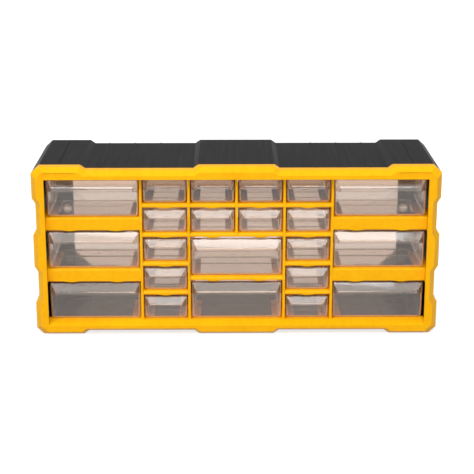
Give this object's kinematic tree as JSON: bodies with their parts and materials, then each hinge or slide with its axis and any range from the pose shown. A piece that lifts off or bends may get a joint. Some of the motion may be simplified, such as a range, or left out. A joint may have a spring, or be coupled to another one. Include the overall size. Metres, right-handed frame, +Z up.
{
  "type": "small parts drawer cabinet",
  "caption": "Wide bench cabinet for small parts: black open-backed housing, yellow front frame, and clear drawers in two sizes that slide out.",
  "frame": {"origin": "middle of the footprint, on the surface the cabinet stands on", "axes": "+X to the right along the front, +Y from the front to the back, +Z up"},
  "size_m": [0.49, 0.16, 0.21],
  "materials": {
    "black_housing": "satin moulded polypropylene",
    "yellow_frame": "satin moulded polypropylene",
    "clear_drawer": "clear glossy polystyrene"
  },
  "bodies": {
    "cabinet": {"housing_shell": "black_housing", "front_bezel": "yellow_frame", "divider_middle": "yellow_frame", "divider_left_outer": "yellow_frame", "divider_left_inner": "yellow_frame", "divider_right_inner": "yellow_frame", "divider_right_outer": "yellow_frame", "beam_left_1": "yellow_frame", "beam_left_2": "yellow_frame", "beam_right_1": "yellow_frame", "beam_right_2": "yellow_frame", "bar_middle_1": "yellow_frame", "bar_a1": "yellow_frame", "bar_a2": "yellow_frame", "bar_a3": "yellow_frame", "bar_a4": "yellow_frame", "bar_b1": "yellow_frame", "bar_b2": "yellow_frame", "bar_c1": "yellow_frame", "bar_c2": "yellow_frame", "bar_d1": "yellow_frame", "bar_d2": "yellow_frame", "bar_d3": "yellow_frame", "bar_d4": "yellow_frame"},
    "large_drawer_left_1": {"large_drawer_left_1": "clear_drawer"},
    "large_drawer_left_2": {"large_drawer_left_2": "clear_drawer"},
    "large_drawer_left_3": {"large_drawer_left_3": "clear_drawer"},
    "large_drawer_right_1": {"large_drawer_right_1": "clear_drawer"},
    "large_drawer_right_2": {"large_drawer_right_2": "clear_drawer"},
    "large_drawer_right_3": {"large_drawer_right_3": "clear_drawer"},
    "large_drawer_middle_1": {"large_drawer_middle_1": "clear_drawer"},
    "large_drawer_middle_2": {"large_drawer_middle_2": "clear_drawer"},
    "small_drawer_a1": {"small_drawer_a1": "clear_drawer"},
    "small_drawer_a2": {"small_drawer_a2": "clear_drawer"},
    "small_drawer_a3": {"small_drawer_a3": "clear_drawer"},
    "small_drawer_a4": {"small_drawer_a4": "clear_drawer"},
    "small_drawer_a5": {"small_drawer_a5": "clear_drawer"},
    "small_drawer_b1": {"small_drawer_b1": "clear_drawer"},
    "small_drawer_b2": {"small_drawer_b2": "clear_drawer"},
    "small_drawer_c1": {"small_drawer_c1": "clear_drawer"},
    "small_drawer_c2": {"small_drawer_c2": "clear_drawer"},
    "small_drawer_d1": {"small_drawer_d1": "clear_drawer"},
    "small_drawer_d2": {"small_drawer_d2": "clear_drawer"},
    "small_drawer_d3": {"small_drawer_d3": "clear_drawer"},
    "small_drawer_d4": {"small_drawer_d4": "clear_drawer"},
    "small_drawer_d5": {"small_drawer_d5": "clear_drawer"}
  },
  "joints": [
    {"name": "large_drawer_left_1_slide", "type": "slide", "parent": "cabinet", "child": "large_drawer_left_1", "axis": [0, -1, 0], "range_m": [0, 0.13]},
    {"name": "large_drawer_left_2_slide", "type": "slide", "parent": "cabinet", "child": "large_drawer_left_2", "axis": [0, -1, 0], "range_m": [0, 0.13]},
    {"name": "large_drawer_left_3_slide", "type": "slide", "parent": "cabinet", "child": "large_drawer_left_3", "axis": [0, -1, 0], "range_m": [0, 0.13]},
    {"name": "large_drawer_right_1_slide", "type": "slide", "parent": "cabinet", "child": "large_drawer_right_1", "axis": [0, -1, 0], "range_m": [0, 0.13]},
    {"name": "large_drawer_right_2_slide", "type": "slide", "parent": "cabinet", "child": "large_drawer_right_2", "axis": [0, -1, 0], "range_m": [0, 0.13]},
    {"name": "large_drawer_right_3_slide", "type": "slide", "parent": "cabinet", "child": "large_drawer_right_3", "axis": [0, -1, 0], "range_m": [0, 0.13]},
    {"name": "large_drawer_middle_1_slide", "type": "slide", "parent": "cabinet", "child": "large_drawer_middle_1", "axis": [0, -1, 0], "range_m": [0, 0.13]},
    {"name": "large_drawer_middle_2_slide", "type": "slide", "parent": "cabinet", "child": "large_drawer_middle_2", "axis": [0, -1, 0], "range_m": [0, 0.13]},
    {"name": "small_drawer_a1_slide", "type": "slide", "parent": "cabinet", "child": "small_drawer_a1", "axis": [0, -1, 0], "range_m": [0, 0.13]},
    {"name": "small_drawer_a2_slide", "type": "slide", "parent": "cabinet", "child": "small_drawer_a2", "axis": [0, -1, 0], "range_m": [0, 0.13]},
    {"name": "small_drawer_a3_slide", "type": "slide", "parent": "cabinet", "child": "small_drawer_a3", "axis": [0, -1, 0], "range_m": [0, 0.13]},
    {"name": "small_drawer_a4_slide", "type": "slide", "parent": "cabinet", "child": "small_drawer_a4", "axis": [0, -1, 0], "range_m": [0, 0.13]},
    {"name": "small_drawer_a5_slide", "type": "slide", "parent": "cabinet", "child": "small_drawer_a5", "axis": [0, -1, 0], "range_m": [0, 0.13]},
    {"name": "small_drawer_b1_slide", "type": "slide", "parent": "cabinet", "child": "small_drawer_b1", "axis": [0, -1, 0], "range_m": [0, 0.13]},
    {"name": "small_drawer_b2_slide", "type": "slide", "parent": "cabinet", "child": "small_drawer_b2", "axis": [0, -1, 0], "range_m": [0, 0.13]},
    {"name": "small_drawer_c1_slide", "type": "slide", "parent": "cabinet", "child": "small_drawer_c1", "axis": [0, -1, 0], "range_m": [0, 0.13]},
    {"name": "small_drawer_c2_slide", "type": "slide", "parent": "cabinet", "child": "small_drawer_c2", "axis": [0, -1, 0], "range_m": [0, 0.13]},
    {"name": "small_drawer_d1_slide", "type": "slide", "parent": "cabinet", "child": "small_drawer_d1", "axis": [0, -1, 0], "range_m": [0, 0.13]},
    {"name": "small_drawer_d2_slide", "type": "slide", "parent": "cabinet", "child": "small_drawer_d2", "axis": [0, -1, 0], "range_m": [0, 0.13]},
    {"name": "small_drawer_d3_slide", "type": "slide", "parent": "cabinet", "child": "small_drawer_d3", "axis": [0, -1, 0], "range_m": [0, 0.13]},
    {"name": "small_drawer_d4_slide", "type": "slide", "parent": "cabinet", "child": "small_drawer_d4", "axis": [0, -1, 0], "range_m": [0, 0.13]},
    {"name": "small_drawer_d5_slide", "type": "slide", "parent": "cabinet", "child": "small_drawer_d5", "axis": [0, -1, 0], "range_m": [0, 0.13]}
  ]
}
